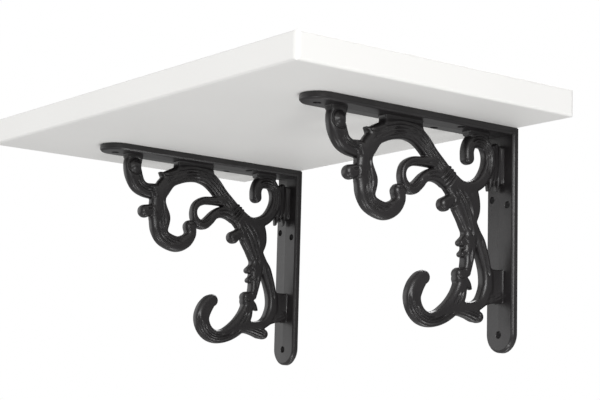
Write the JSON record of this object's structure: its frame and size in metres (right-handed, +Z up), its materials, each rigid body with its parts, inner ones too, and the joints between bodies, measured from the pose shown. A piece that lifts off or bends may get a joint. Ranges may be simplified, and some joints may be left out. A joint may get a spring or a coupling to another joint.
{
  "type": "wall shelf with scroll brackets",
  "caption": "White slab wall shelf carried on black cast scroll brackets, each ending in a coat hook.",
  "frame": {"origin": "on the wall plane, at the height of the board's underside, midway between the two brackets", "axes": "+X along the wall to the right as seen from the room, +Y into the wall, +Z up"},
  "size_m": [0.4, 0.25, 0.185],
  "materials": {
    "white_board": "matt white lacquer",
    "black_casting": "satin black coating on a casting",
    "black_screw": "satin black"
  },
  "bodies": {
    "root": {"shelf_board": "white_board", "left_bracket": "black_casting", "right_bracket": "black_casting", "left_front_screw": "black_screw", "left_outer_screw": "black_screw", "left_inner_screw": "black_screw", "right_front_screw": "black_screw", "right_outer_screw": "black_screw", "right_inner_screw": "black_screw"}
  },
  "joints": []
}
